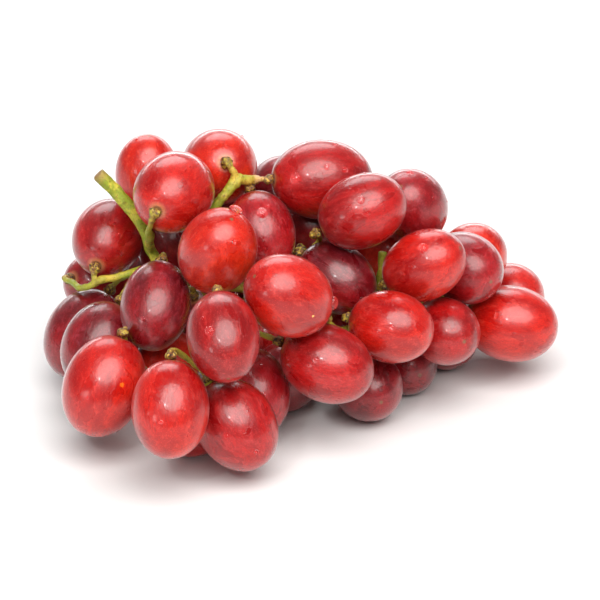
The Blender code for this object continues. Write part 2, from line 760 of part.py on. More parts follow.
def add_object(name, mesh, material):
    """Links a mesh as a smooth object with one material."""
    mesh.materials.append(material)
    for face in mesh.polygons:
        face.use_smooth = True
    solid = bpy.data.objects.new(name, mesh)
    bpy.context.scene.collection.objects.link(solid)
    return solid


def berry_mesh(name, berry):
    """A turned berry with a dimple at its stem end and a scar at its nose, flat where it is pressed."""
    half_width = berry["half_width"] * ROUNDING
    half_length = berry["half_length"]
    axis = berry["axis"]
    side, other = frame_across(axis)
    bm = bmesh.new()
    rings = []
    for number in range(1, BERRY_RINGS + 1):
        angle = math.pi * (number - 0.35) / (BERRY_RINGS + 0.3)
        along = half_length * math.cos(angle)
        radius = half_width * math.sin(angle)
        ring = []
        for k in range(BERRY_SIDES):
            turn = 2 * math.pi * k / BERRY_SIDES
            place = berry["centre"] + axis * along + (side * math.cos(turn) + other * math.sin(turn)) * radius
            ring.append(bm.verts.new((place - (0, 0, FLOOR)) * MM))
        rings.append(ring)
    top = bm.verts.new((berry["centre"] + axis * (half_length - DIMPLE_DEPTH) - (0, 0, FLOOR)) * MM)
    nose = bm.verts.new((berry["centre"] - axis * (half_length - NOSE_DEPTH) - (0, 0, FLOOR)) * MM)
    for k in range(BERRY_SIDES):
        after = (k + 1) % BERRY_SIDES
        bm.faces.new((top, rings[0][k], rings[0][after]))
        bm.faces.new((nose, rings[-1][after], rings[-1][k]))
        for ring, below in zip(rings[:-1], rings[1:]):
            bm.faces.new((ring[k], below[k], below[after], ring[after]))
    if min(vert.co.z for vert in bm.verts) < 0.0:
        everything = bm.verts[:] + bm.edges[:] + bm.faces[:]
        cut = bmesh.ops.bisect_plane(bm, geom=everything, dist=1e-7, plane_co=(0, 0, 0), plane_no=(0, 0, -1),
                                     clear_outer=True)
        rim = [part for part in cut["geom_cut"] if isinstance(part, bmesh.types.BMEdge)]
        bmesh.ops.contextual_create(bm, geom=rim)
    bmesh.ops.recalc_face_normals(bm, faces=bm.faces)
    mesh = bpy.data.meshes.new(name)
    bm.to_mesh(mesh)
    bm.free()
    return mesh


def tube_mesh(name, places, radii, sides, phase):
    """A closed tube along a line of points."""
    bm = bmesh.new()
    runs = [after - before for before, after in zip(places[:-1], places[1:])]
    runs = [run / np.linalg.norm(run) for run in runs]
    tangents = [runs[0]] + [a + b for a, b in zip(runs[:-1], runs[1:])] + [runs[-1]]
    side = frame_across(runs[0])[0]
    rings = []
    for place, radius, tangent in zip(places, radii, tangents):
        tangent = tangent / np.linalg.norm(tangent)
        side = side - tangent * (side @ tangent)
        side /= np.linalg.norm(side)
        other = np.cross(tangent, side)
        ring = []
        for k in range(sides):
            turn = 2 * math.pi * k / sides + phase
            spot = place + (side * math.cos(turn) + other * math.sin(turn)) * radius
            ring.append(bm.verts.new((spot - (0, 0, FLOOR)) * MM))
        rings.append(ring)
    for ring, after_ring in zip(rings[:-1], rings[1:]):
        for k in range(sides):
            after = (k + 1) % sides
            bm.faces.new((ring[k], ring[after], after_ring[after], after_ring[k]))
    bm.faces.new(rings[0][::-1])
    bm.faces.new(rings[-1])
    bmesh.ops.recalc_face_normals(bm, faces=bm.faces)
    mesh = bpy.data.meshes.new(name)
    bm.to_mesh(mesh)
    bm.free()
    return mesh


def join_tubes(name, tubes, material):
    """Joins the tubes of the stem into one closed body."""
    group = bpy.data.collections.new("stem_tubes")
    bpy.context.scene.collection.children.link(group)
    helpers = []
    for number, mesh in enumerate(tubes[1:]):
        helper = bpy.data.objects.new(f"tube_{number:02d}", mesh)
        group.objects.link(helper)
        helpers.append(helper)
    base = bpy.data.objects.new(name, tubes[0])
    bpy.context.scene.collection.objects.link(base)
    union = base.modifiers.new("join", "BOOLEAN")
    union.operation = "UNION"
    union.operand_type = "COLLECTION"
    union.collection = group
    union.solver = "MANIFOLD"
    evaluated = base.evaluated_get(bpy.context.evaluated_depsgraph_get())
    joined = bpy.data.meshes.new_from_object(evaluated)
    bpy.data.objects.remove(base)
    for helper in helpers:
        bpy.data.objects.remove(helper)
    bpy.data.collections.remove(group)
    joined.name = name
    joined.materials.clear()
    return add_object(name, joined, material)


def stem_tubes(stem, lines):
    """One tube for each run of the stem."""
    tubes = []
    for number, line in enumerate(lines):
        places = [stem.places[n] for n in line]
        radii = [stem.radii[n] for n in line]
        if number:
            radii[0] = min(radii[1], radii[0] * 0.85)
        tubes.append(tube_mesh(f"tube_{number}", places, radii, STEM_SIDES, 0.37 * number))
    return tubes


def thicken(stem, lines):
    """Makes the runs that carry several berries thicker."""
    carried = [0] * len(stem.places)
    for line in lines:
        if stem.radii[line[-1]] == KNOB_RADIUS:
            n = line[-1]
            while n is not None:
                carried[n] += 1
                n = stem.parents[n]
    for n, count in enumerate(carried):
        if stem.radii[n] == SHORT_STALK and count > 1:
            stem.radii[n] = min(THICKEST_BRANCH, SHORT_STALK * count ** 0.3)


def centre_on_floor(solids):
    """Moves all meshes so that the middle of the bunch stands over the origin."""
    corners = np.array([vert.co[:] for solid in solids for vert in solid.data.vertices])
    middle = (corners.min(axis=0) + corners.max(axis=0)) / 2
    for solid in solids:
        for vert in solid.data.vertices:
            vert.co.x -= middle[0]
            vert.co.y -= middle[1]
    return middle


def skin_tone(name):
    """The plain colour of a berry's skin."""
    if name in ORANGE_BERRIES:
        return SKIN_TONES["orange"]
    if name in RED_BERRIES:
        return SKIN_TONES["red"]
    return SKIN_TONES["dark"]


def main():
    for old in list(bpy.data.objects):
        bpy.data.objects.remove(old)
    front = front_berries()
    ease_apart(front, 60)
    stalk = to_world(np.array([row[:3] for row in STALK]))
    berries = dict(front, **back_berries(front, stalk))
    stem, lines, room = grow_stem(berries)
    thicken(stem, lines)
    solids = []
    for name, berry in berries.items():
        label = name if name.startswith("back") else f"berry_{name}"
        skin = new_material(f"skin_{label}", skin_tone(name), SKIN_ROUGHNESS)
        solids.append(add_object(label, berry_mesh(label, berry), skin))
    green = new_material("stem_green", STEM_COLOUR, STEM_ROUGHNESS)
    solids.append(join_tubes("stem", stem_tubes(stem, lines), green))
    return centre_on_floor(solids)


if __name__ == "__main__":
    main()
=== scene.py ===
"""A bunch of red grapes with dewy, waxy berries on a green stem, lying on a pale floor in soft light."""

import math
from collections import namedtuple

import bmesh
import bpy
import numpy as np
from mathutils import Matrix, Vector, noise


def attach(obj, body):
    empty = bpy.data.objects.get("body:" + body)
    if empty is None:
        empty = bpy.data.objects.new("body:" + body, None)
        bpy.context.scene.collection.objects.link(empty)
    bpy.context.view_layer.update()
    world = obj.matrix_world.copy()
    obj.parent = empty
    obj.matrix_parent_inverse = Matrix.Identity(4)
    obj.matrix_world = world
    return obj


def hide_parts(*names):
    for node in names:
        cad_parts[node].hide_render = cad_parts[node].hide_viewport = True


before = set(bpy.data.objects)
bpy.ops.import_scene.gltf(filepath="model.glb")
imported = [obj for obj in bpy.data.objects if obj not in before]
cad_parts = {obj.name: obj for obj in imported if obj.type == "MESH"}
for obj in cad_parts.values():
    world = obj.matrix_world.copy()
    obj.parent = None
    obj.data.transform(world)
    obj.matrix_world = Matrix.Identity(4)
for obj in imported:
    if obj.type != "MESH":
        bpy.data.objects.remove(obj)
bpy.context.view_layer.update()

MM = 0.001

# The photograph's view: the width of a pixel where the camera looks, and the camera's raise above the
# horizontal, its distance, the height that it looks at and its sensor, in millimetres.
IMAGE_SIZE = 600
PIXEL = 0.29
VIEW_RAISE = math.radians(26.0)
VIEW_DISTANCE = 1200.0
VIEW_HEIGHT = 33.0
SENSOR = 36.0
CLIP_START = 0.01
CLIP_END = 20.0

# The middle of the bunch on the floor, in the frame that the part is measured in, in millimetres.
MIDDLE = (0.295, 2.770)

# Oval lights that look at the bunch: place and size in metres, power in watts and colour. A large one is
# above and in front, weaker ones are behind and low on the left, and a small one makes sparks.
LIGHT_AIM = Vector((0.0, 0.0, 0.03))
LIGHTS = {
    "key": ((0.17, -0.84, 1.27), (1.80, 1.45), 43.0, (1.0, 0.985, 0.96)),
    "back": ((-0.1, 0.75, 0.75), (0.9, 0.5), 5.0, (0.97, 0.985, 1.0)),
    "rim": ((0.0, 0.95, 0.20), (1.6, 0.14), 3.0, (1.0, 1.0, 1.0)),
    "low": ((-0.75, -0.75, 0.22), (0.25, 0.18), 1.0, (1.0, 1.0, 1.0)),
    "spark": ((-0.30, -0.85, 0.75), (0.06, 0.06), 1.3, (1.0, 1.0, 1.0)),
}
WORLD_LIGHT = 0.22

# The floor: half its side in metres, and two shades that lie on it as faint clouds.
FLOOR_REACH = 4.0
FLOOR_SHADES = ((0.71, 0.71, 0.71), (0.73, 0.73, 0.73))
FLOOR_CLOUDS = 3.0
FLOOR_SHADER = {"Roughness": 0.9, "Specular IOR Level": 0.0}

# How a berry is found from the corners of its solid: rounds, the scale that the sums are made at, how far a
# kept point may be from the found shape, and how much wider the solid's corners are than the berry.
FIT_ROUNDS = 4
FIT_SCALE = 100.0
FIT_SLACK = 0.03
FLOOR_SLACK = 0.00001
ROUNDING = 1.012

# Berry meshes: sides and rings, how much plumper and how uneven they are, and in millimetres the dimple and
# the pale ring at the stem end and the scar at the nose.
SIDES = 56
RINGS = 40
PLUMP = 1.006
LUMPS = 0.006
LUMP_SCALE = 1.3
LUMP_STEP = (1.7, 0.9, 2.3)
DIMPLE_WIDTH = 2.6
DIMPLE_DEPTH = 0.5
RING_WIDTH = 4.6
SCAR_WIDTH = 0.8
SCAR_DEPTH = 0.18

# The way that the side of every berry with a painted glow faces (down, to the front and to the right), and
# how fast the painted glow falls off around it. The glow is painted light: a lighter, more orange colour that
# stands in for light shining through the flesh.
PAINTED_GLOW_SIDE = Vector((0.35, -0.45, -0.82))
PAINTED_GLOW_FALL = 1.5

# Skin colours: the body of the skin, its darker and its paler mottling, the painted glow of its lower side
# (painted light that stands in for light shining through the flesh) and wax.
Tone = namedtuple("Tone", "body deep pale glow waxy")
SKINS = {
    "orange": Tone((0.60, 0.016, 0.004), (0.33, 0.004, 0.003), (0.82, 0.085, 0.045),
                   (0.86, 0.058, 0.007), (0.68, 0.14, 0.13)),
    "scarlet": Tone((0.52, 0.009, 0.004), (0.26, 0.002, 0.003), (0.74, 0.065, 0.045),
                    (0.74, 0.028, 0.005), (0.64, 0.12, 0.12)),
    "red": Tone((0.41, 0.005, 0.005), (0.18, 0.002, 0.003), (0.64, 0.055, 0.050),
                (0.52, 0.010, 0.005), (0.56, 0.11, 0.13)),
    "crimson": Tone((0.35, 0.005, 0.008), (0.14, 0.002, 0.004), (0.54, 0.050, 0.060),
                    (0.46, 0.008, 0.007), (0.48, 0.11, 0.15)),
    "dark": Tone((0.25, 0.004, 0.007), (0.08, 0.002, 0.004), (0.43, 0.045, 0.060),
                 (0.34, 0.006, 0.007), (0.40, 0.11, 0.16)),
}
HALO = (0.74, 0.34, 0.15)
SCAR = (0.20, 0.09, 0.04)
FLECK = (0.13, 0.02, 0.015)

# Scales of the patterns on the skin, per metre, how the streaky ones are drawn out along the berry, and how
# far the patterns move from one berry to the next before they start again.
SKIN_CLOUDS = 110.0
SKIN_MOTTLE = 700.0
SKIN_GRAIN = 1900.0
SKIN_DOTS = 1700.0
SKIN_FLECKS = 230.0
WAX_CLOUDS = 170.0
WET_CLOUDS = 150.0
STREAK = (1.0, 1.0, 0.36)
WET_STREAK = (1.0, 1.0, 0.6)
WET_EDGE = (0.580, 0.592)
SKIN_STEPS = ((0.37, 5.0), (0.71, 7.0), (0.13, 3.0))

# The surface of the skin: roughness where it is bare, what wax adds, roughness where it is wet, its grain,
# the flesh that glows under it and the clear film over it.
SKIN_ROUGH = 0.28
WAX_ROUGH = 0.20
WET_ROUGH = 0.12
SKIN_BUMP = (0.5, 0.00015)
SKIN_SHADER = {
    "IOR": 1.46,
    "Subsurface Weight": 0.25,
    "Subsurface Radius": (1.0, 0.25, 0.15),
    "Subsurface Scale": 0.003,
    "Sheen Weight": 0.05,
    "Sheen Roughness": 0.25,
    "Coat Weight": 1.0,
    "Coat IOR": 1.25,
    "Coat Roughness": 0.10,
}

# Each front berry's skin, how much wax lies on it and how dusky it is, all from the photograph.
LOOKS = {
    "a": ("orange", 0.10, 0.00), "b": ("scarlet", 0.25, 0.10), "c": ("orange", 0.20, 0.25),
    "d": ("dark", 0.15, 0.20), "e": ("red", 0.20, 0.15), "f": ("red", 0.30, 0.25),
    "g": ("crimson", 0.50, 0.00), "h": ("red", 0.25, 0.00), "i": ("crimson", 0.45, 0.00),
    "j": ("orange", 0.30, 0.00), "k": ("crimson", 0.40, 0.10), "l": ("dark", 0.45, 0.10),
    "m": ("scarlet", 0.35, 0.20), "n": ("dark", 0.40, 0.35), "o": ("scarlet", 0.20, 0.05),
    "p": ("crimson", 0.45, 0.00), "q": ("orange", 0.20, 0.10), "r": ("scarlet", 0.25, 0.00),
    "s": ("scarlet", 0.15, 0.15), "t": ("scarlet", 0.25, 0.05), "u": ("red", 0.30, 0.25),
    "v": ("red", 0.35, 0.20), "w": ("red", 0.25, 0.35), "x": ("dark", 0.40, 0.10),
    "y": ("dark", 0.50, 0.00), "z": ("scarlet", 0.35, 0.05), "aa": ("scarlet", 0.30, 0.10),
    # The berries dd, ee, ff, gg, hh, ii and ll lie in the shade inside and under the bunch: their darkest
    # tone and strong dusk are painted shade.
    "bb": ("red", 0.40, 0.15), "cc": ("crimson", 0.35, 0.15), "dd": ("dark", 0.10, 0.60),
    "ee": ("dark", 0.20, 0.30), "ff": ("dark", 0.20, 0.30), "gg": ("dark", 0.20, 0.40),
    "hh": ("dark", 0.10, 0.30), "ii": ("dark", 0.10, 0.40), "ll": ("dark", 0.10, 0.40),
}

# Looks that the other berries take in turn.
OTHER_LOOKS = [("crimson", 0.35, 0.05), ("red", 0.30, 0.10), ("dark", 0.40, 0.00), ("orange", 0.25, 0.05)]

# The stem's mesh, its warts and how much stouter it is than its solid, in millimetres.
STEM_VOXEL = 0.42
STEM_WELD = 0.001
STEM_SMOOTH_SHARE = 0.5
STEM_SMOOTH_ROUNDS = 6
WART_HEIGHT = 0.75
STEM_PLUMP = 0.12

# How far the warts and the ripe colour reach from a berry's stem end, in millimetres.
WART_REACH = 3.3
RIPE_REACH = 7.0

# Warts, ridges and warty patches on the stem: their scales per metre, how far the warts are lifted, how
# deep the pits between them are, how high the ridges are beside the warts, and the edge of the patches.
STEM_WARTS = 1000.0
STEM_RIDGES = 420.0
STEM_PATCHES = 190.0
WART_LIFT = 0.15
PIT_DEPTH = 0.3
RIDGE_SHARE = 0.25
PATCH_EDGE = 0.28
PATCH_GAIN = 1.5

# Colours of the stem, the scales of its patterns per metre, and its surface.
STEM_GREEN = (0.26, 0.33, 0.018)
STEM_YELLOW = (0.58, 0.52, 0.050)
STEM_OCHRE = (0.62, 0.38, 0.055)
STEM_BROWN = (0.20, 0.075, 0.018)
STEM_DARK = (0.040, 0.016, 0.007)
CUT_WOOD = (0.26, 0.15, 0.05)
TORN_WOOD = (0.80, 0.42, 0.24)
STEM_CLOUDS = 260.0
STEM_FIBRES = 1700.0
STEM_FRECKLES = 900.0
STEM_CRUST = 1100.0
STEM_PITS = 1500.0
STEM_GRAIN = 3200.0
STEM_BUMP = (0.8, 0.00020)
STEM_SHADER = {
    "Roughness": 0.50,
    "Subsurface Weight": 0.10,
    "Subsurface Radius": (0.6, 0.5, 0.2),
    "Subsurface Scale": 0.0012,
}

# Three places on the stem in the photograph's view, in millimetres across, up and towards the camera, each
# with its reach: the cut end of the stalk, the stouter and bumpier star of branches, and the torn side of
# the upper branch.
STALK_END = (-58.6, 36.5, 2.0)
CUT_REACH = 2.2
CUT_EDGE = 1.6
STAR_PLACE = (-18.5, 34.6, 0.0)
STAR_REACH = 3.4
STAR_PLUMP = 0.55
STAR_BUMPS = 0.8
TORN_PLACE = (-11.8, 35.3, -4.0)
TORN_REACH = 1.9

# Single specks that the photograph shows: pixel across, pixel down, radius in millimetres and colour.
SPECKS = {
    "z": (122, 385, 0.75, (0.80, 0.13, 0.01)),
    "m": (313, 316, 0.45, (0.85, 0.50, 0.12)),
}
SPECK_EDGE = 1500.0

# Water drops that the photograph shows: berry, pixel across, pixel down and radius in millimetres. One that
# would miss its berry moves in by up to this share of the way to the berry's middle.
DROPS = [
    ("e", 296, 178, 1.7), ("e", 327, 167, 0.9), ("e", 345, 170, 0.9), ("k", 262, 213, 1.6),
    ("k", 268, 206, 0.6), ("f", 361, 200, 1.2), ("f", 368, 213, 0.6), ("o", 423, 248, 1.4),
    ("m", 334, 303, 1.9), ("j", 236, 210, 2.1), ("w", 210, 331, 1.4), ("w", 203, 318, 0.6),
    ("bb", 226, 436, 0.9), ("v", 316, 360, 0.9), ("g", 410, 173, 1.0), ("g", 427, 179, 0.7),
    ("l", 143, 319, 0.8), ("t", 392, 327, 0.8), ("aa", 161, 422, 0.7), ("z", 88, 398, 0.6),
]
DROP_SHIFT = 0.3
DROP_STEPS = 16

# Small drops that are scattered by chance: how many for a berry, their radius in millimetres, the lowest way
# out that still carries one, and how near to its berry's two ends one may be.
CHANCE_SEED = 11
FEWEST_DROPS = 2
MOST_DROPS = 6
DROP_RADII = (0.25, 0.7)
LOWEST_WAY = -0.2
NEAREST_END = 0.9
DROP_ROOM = 0.8

# The shape of a drop: its sides, its rings' widths and heights, its top and its foot in radii, how uneven it
# is, how far the unevenness moves from one drop to the next, and the height of its middle in radii.
DROP_SIDES = 20
DROP_LEVELS = [(1.0, -0.10), (1.03, 0.10), (0.98, 0.28), (0.86, 0.46), (0.64, 0.61), (0.35, 0.71)]
DROP_TOP = 0.75
DROP_FOOT = 0.16
DROP_LUMPS = 0.10
DROP_STEP = 3.1
DROP_MIDDLE = 0.5

# Water is as dark as it makes the wet skin below it.
WATER_TINTS = ((0.88, 0.66, 0.67), (0.82, 0.60, 0.62))
WATER_CLOUDS = 900.0
WATER_SHADER = {"Roughness": 0.02, "IOR": 1.333, "Transmission Weight": 1.0}

# A berry as an oval: its middle, the way to its stem end, and half its length and width in metres.
Berry = namedtuple("Berry", "centre axis long wide")


def view_frame():
    """Where the camera looks, and the directions across, up and towards the camera."""
    target = Vector((-MIDDLE[0], -MIDDLE[1], VIEW_HEIGHT)) * MM
    across = Vector((1, 0, 0))
    up = Vector((0, math.sin(VIEW_RAISE), math.cos(VIEW_RAISE)))
    towards = Vector((0, -math.cos(VIEW_RAISE), math.sin(VIEW_RAISE)))
    return target, across, up, towards


def from_view(across, up, depth):
    """A place in metres from one in the photograph's view: millimetres across, up and towards the camera."""
    shrink = 1.0 - depth / VIEW_DISTANCE
    target, right, above, towards = view_frame()
    return target + (right * across * shrink + above * up * shrink + towards * depth) * MM


def pixel_ray(across_pixel, down_pixel):
    """The start and direction of the camera's ray through a pixel of the photograph."""
    target, across, up, towards = view_frame()
    start = target + towards * VIEW_DISTANCE * MM
    half = IMAGE_SIZE / 2
    seen = target + (across * (across_pixel - half) + up * (half - down_pixel)) * PIXEL * MM
    return start, (seen - start).normalized()


def add_camera():
    """The camera at the photograph's viewing angle."""
    target, across, up, towards = view_frame()
    camera = bpy.data.cameras.new("camera")
    camera.sensor_width = SENSOR
    camera.lens = SENSOR * VIEW_DISTANCE / (IMAGE_SIZE * PIXEL)
    camera.clip_start = CLIP_START
    camera.clip_end = CLIP_END
    rig = bpy.data.objects.new("camera", camera)
    turn = Matrix((across, up, towards)).transposed().to_4x4()
    rig.matrix_world = Matrix.Translation(target + towards * VIEW_DISTANCE * MM) @ turn
    bpy.context.scene.collection.objects.link(rig)
    bpy.context.scene.camera = rig


def add_light(name, place, size, power, colour):
    """A soft oval light that looks at the bunch."""
    light = bpy.data.lights.new(name, "AREA")
    light.shape = "ELLIPSE"
    light.size = size[0]
    light.size_y = size[1]
    light.energy = power
    light.color = colour
    lamp = bpy.data.objects.new(name, light)
    lamp.location = place
    lamp.rotation_euler = (Vector(place) - LIGHT_AIM).to_track_quat("Z", "Y").to_euler()
    bpy.context.scene.collection.objects.link(lamp)


def set_world():
    """An even white surrounding, and colours shown as they are."""
    world = bpy.data.worlds.new("studio")
    world.use_nodes = True
    backdrop = world.node_tree.nodes["Background"]
    backdrop.inputs["Color"].default_value = (1.0, 1.0, 1.0, 1.0)
    backdrop.inputs["Strength"].default_value = WORLD_LIGHT
    bpy.context.scene.world = world
    bpy.context.scene.view_settings.view_transform = "Standard"
    bpy.context.scene.view_settings.look = "None"
    bpy.context.scene.view_settings.exposure = 0.0


class Nodes:
    """Short calls for building a material."""

    def __init__(self, name):
        self.material = bpy.data.materials.new(name)
        self.material.use_nodes = True
        self.tree = self.material.node_tree
        self.shader = self.tree.nodes["Principled BSDF"]

    def node(self, kind, **values):
        """A node with its properties set."""
        made = self.tree.nodes.new(kind)
        for key, value in values.items():
            setattr(made, key, value)
        return made

    def plug(self, source, target):
        """Joins an output to an input, or sets the input's value."""
        if isinstance(source, bpy.types.NodeSocket):
            self.tree.links.new(source, target)
        else:
            target.default_value = source

    def mix(self, share, first, second):
        """A mix of two colours, which are the sockets 6 and 7 of the node."""
        mixer = self.node("ShaderNodeMix", data_type="RGBA")
        self.plug(share, mixer.inputs[0])
        self.plug(self.colour(first), mixer.inputs[6])
        self.plug(self.colour(second), mixer.inputs[7])
        return mixer.outputs[2]

    @staticmethod
    def colour(value):
        """A colour with its alpha, or a socket as it is."""
        return value if isinstance(value, bpy.types.NodeSocket) else (*value, 1.0)

    def math(self, operation, *numbers, clamp=False):
        """One step of arithmetic on two or three numbers."""
        made = self.node("ShaderNodeMath", operation=operation, use_clamp=clamp)
        for number, socket in zip(numbers, made.inputs):
            self.plug(number, socket)
        return made.outputs[0]

    def times(self, first, second, clamp=False):
        """The product of two numbers."""
        return self.math("MULTIPLY", first, second, clamp=clamp)

    def ramp(self, value, low, high, low_out=0.0, high_out=1.0):
        """A soft step from one value to another."""
        made = self.node("ShaderNodeMapRange", interpolation_type="SMOOTHSTEP")
        self.plug(value, made.inputs["Value"])
        made.inputs["From Min"].default_value = low
        made.inputs["From Max"].default_value = high
        made.inputs["To Min"].default_value = low_out
        made.inputs["To Max"].default_value = high_out
        return made.outputs["Result"]

    def noise(self, place, scale, detail=2.0, rough=0.5, warp=0.0):
        """Cloudy noise over a place."""
        made = self.node("ShaderNodeTexNoise")
        self.plug(place, made.inputs["Vector"])
        made.inputs["Scale"].default_value = scale
        made.inputs["Detail"].default_value = detail
        made.inputs["Roughness"].default_value = rough
        made.inputs["Distortion"].default_value = warp
        return made.outputs["Fac"]

    def cells(self, place, scale):
        """Distance to scattered points."""
        made = self.node("ShaderNodeTexVoronoi")
        self.plug(place, made.inputs["Vector"])
        made.inputs["Scale"].default_value = scale
        return made.outputs["Distance"]

    def place(self, shift=(0.0, 0.0, 0.0), stretch=(1.0, 1.0, 1.0)):
        """The place stored on the mesh. The shift makes two berries differ, the stretch makes streaks."""
        where = self.node("ShaderNodeAttribute", attribute_name="place")
        moved = self.node("ShaderNodeMapping")
        self.plug(where.outputs["Vector"], moved.inputs["Vector"])
        moved.inputs["Location"].default_value = shift
        moved.inputs["Scale"].default_value = stretch
        return moved.outputs["Vector"]

    def value(self, name):
        """A number that is stored on the mesh."""
        return self.node("ShaderNodeAttribute", attribute_name=name).outputs["Fac"]

    def speck(self, centre, radius):
        """One ragged speck on the mesh: 1 inside it and 0 outside."""
        place = self.place()
        away = self.node("ShaderNodeVectorMath", operation="DISTANCE")
        self.plug(place, away.inputs[0])
        away.inputs[1].default_value = centre
        ragged = self.math("MULTIPLY_ADD", self.noise(place, SPECK_EDGE), radius, away.outputs["Value"])
        return self.ramp(ragged, radius * 1.2, radius * 1.5, 1.0, 0.0)

    def finish(self, colour, shader):
        """Gives the shader its colour and its plain values."""
        self.plug(colour, self.shader.inputs["Base Color"])
        for name, value in shader.items():
            self.shader.inputs[name].default_value = value

    def bump(self, height, strength, distance):
        """Makes the surface uneven."""
        made = self.node("ShaderNodeBump")
        made.inputs["Strength"].default_value = strength
        made.inputs["Distance"].default_value = distance
        self.plug(height, made.inputs["Height"])
        self.plug(made.outputs["Normal"], self.shader.inputs["Normal"])


def flesh_colour(nodes, tone, dusk, streaks):
    """The body of the skin with dusky clouds, which are painted shade on the inner berries, and the painted
    glow of its lower side, which is painted light.
    """
    clouds = nodes.noise(streaks, SKIN_CLOUDS, 4.0, 0.55, 0.5)
    colour = nodes.mix(nodes.ramp(clouds, 0.32 + 0.22 * dusk, 0.60, 0.85, 0.0), tone.body, tone.deep)
    # Painted light: the lower side is mixed towards a lighter, more orange colour, as if lit through the
    # flesh.
    under = nodes.times(nodes.value("lower_side"), nodes.ramp(clouds, 0.25, 0.60, 0.20, 0.80))
    return nodes.mix(under, colour, tone.glow)


def dotted_colour(nodes, tone, colour, shift):
    """Fine pale dots and a few dark flecks over a colour."""
    dots = nodes.cells(nodes.place(shift), SKIN_DOTS)
    colour = nodes.mix(nodes.ramp(dots, 0.08, 0.34, 0.48, 0.0), colour, tone.pale)
    flecks = nodes.cells(nodes.place((shift[1], shift[2], shift[0])), SKIN_FLECKS)
    return nodes.mix(nodes.ramp(flecks, 0.03, 0.06, 0.30, 0.0), colour, FLECK)


def wax_film(nodes, wax, shift, grain, wet_clouds):
    """How much wax lies where: clouds, broken by the grain and wet marks, and faint on the lower side."""
    film = nodes.noise(nodes.place(shift), WAX_CLOUDS, 6.0, 0.68, 1.2)
    film = nodes.ramp(film, 0.58 - 0.30 * wax, 0.80, 0.0, 0.60 * wax)
    film = nodes.times(film, nodes.ramp(wet_clouds, *WET_EDGE, 1.0, 0.1))
    film = nodes.times(film, nodes.ramp(grain, 0.36, 0.58, 1.60, 0.35))
    return nodes.times(film, nodes.ramp(nodes.value("lower_side"), 0.0, 0.7, 1.0, 0.15))


def end_colour(nodes, colour):
    """The pale halo and the brown ring at the stem end, and the scar at the nose, over a colour."""
    stem_end = nodes.value("stem_end")
    colour = nodes.mix(nodes.ramp(stem_end, 0.60, 1.0, 0.0, 0.75), colour, HALO)
    colour = nodes.mix(nodes.ramp(stem_end, 0.84, 0.92, 0.0, 0.8), colour, SCAR)
    return nodes.mix(nodes.ramp(nodes.value("scar"), 0.35, 0.8, 0.0, 0.9), colour, SCAR)


def skin_material(name, look, seed, speck):
    """Grape skin: mottled and dotted, with a painted glow of light below, with wax broken by wet marks, and
    marks at both ends.
    """
    tone_name, wax, dusk = look
    tone = SKINS[tone_name]
    nodes = Nodes(name)
    shift = [step * seed % most for step, most in SKIN_STEPS]
    streaks = nodes.place(shift, STREAK)
    grain = nodes.noise(streaks, SKIN_GRAIN, 4.0, 0.85, 0.2)
    mottle = nodes.noise(streaks, SKIN_MOTTLE, 5.0, 0.72, 0.3)
    wet_place = nodes.place((shift[2], shift[0], shift[1]), WET_STREAK)
    wet_clouds = nodes.noise(wet_place, WET_CLOUDS, 3.0, 0.6, 0.5)
    wet = nodes.ramp(wet_clouds, *WET_EDGE)
    film = wax_film(nodes, wax, shift, grain, wet_clouds)
    colour = flesh_colour(nodes, tone, dusk, streaks)
    colour = nodes.mix(nodes.ramp(grain, 0.47, 0.60, 0.0, 0.62), colour, tone.deep)
    colour = nodes.mix(nodes.ramp(mottle, 0.50, 0.70, 0.0, 0.38), colour, tone.pale)
    colour = dotted_colour(nodes, tone, colour, shift)
    colour = nodes.mix(film, colour, tone.waxy)
    colour = nodes.mix(nodes.times(wet, 0.38), colour, tone.deep)
    colour = end_colour(nodes, colour)
    if speck:
        place, radius, speck_colour = speck
        colour = nodes.mix(nodes.speck(place, radius), colour, speck_colour)
    nodes.finish(colour, SKIN_SHADER)
    rough = nodes.math("MULTIPLY_ADD", film, WAX_ROUGH, SKIN_ROUGH)
    rough = nodes.math("MULTIPLY_ADD", wet, WET_ROUGH - SKIN_ROUGH, rough)
    nodes.plug(rough, nodes.shader.inputs["Roughness"])
    height = nodes.math("ADD", nodes.math("ADD", mottle, grain), nodes.times(wet, 0.5))
    nodes.bump(height, *SKIN_BUMP)
    return nodes.material


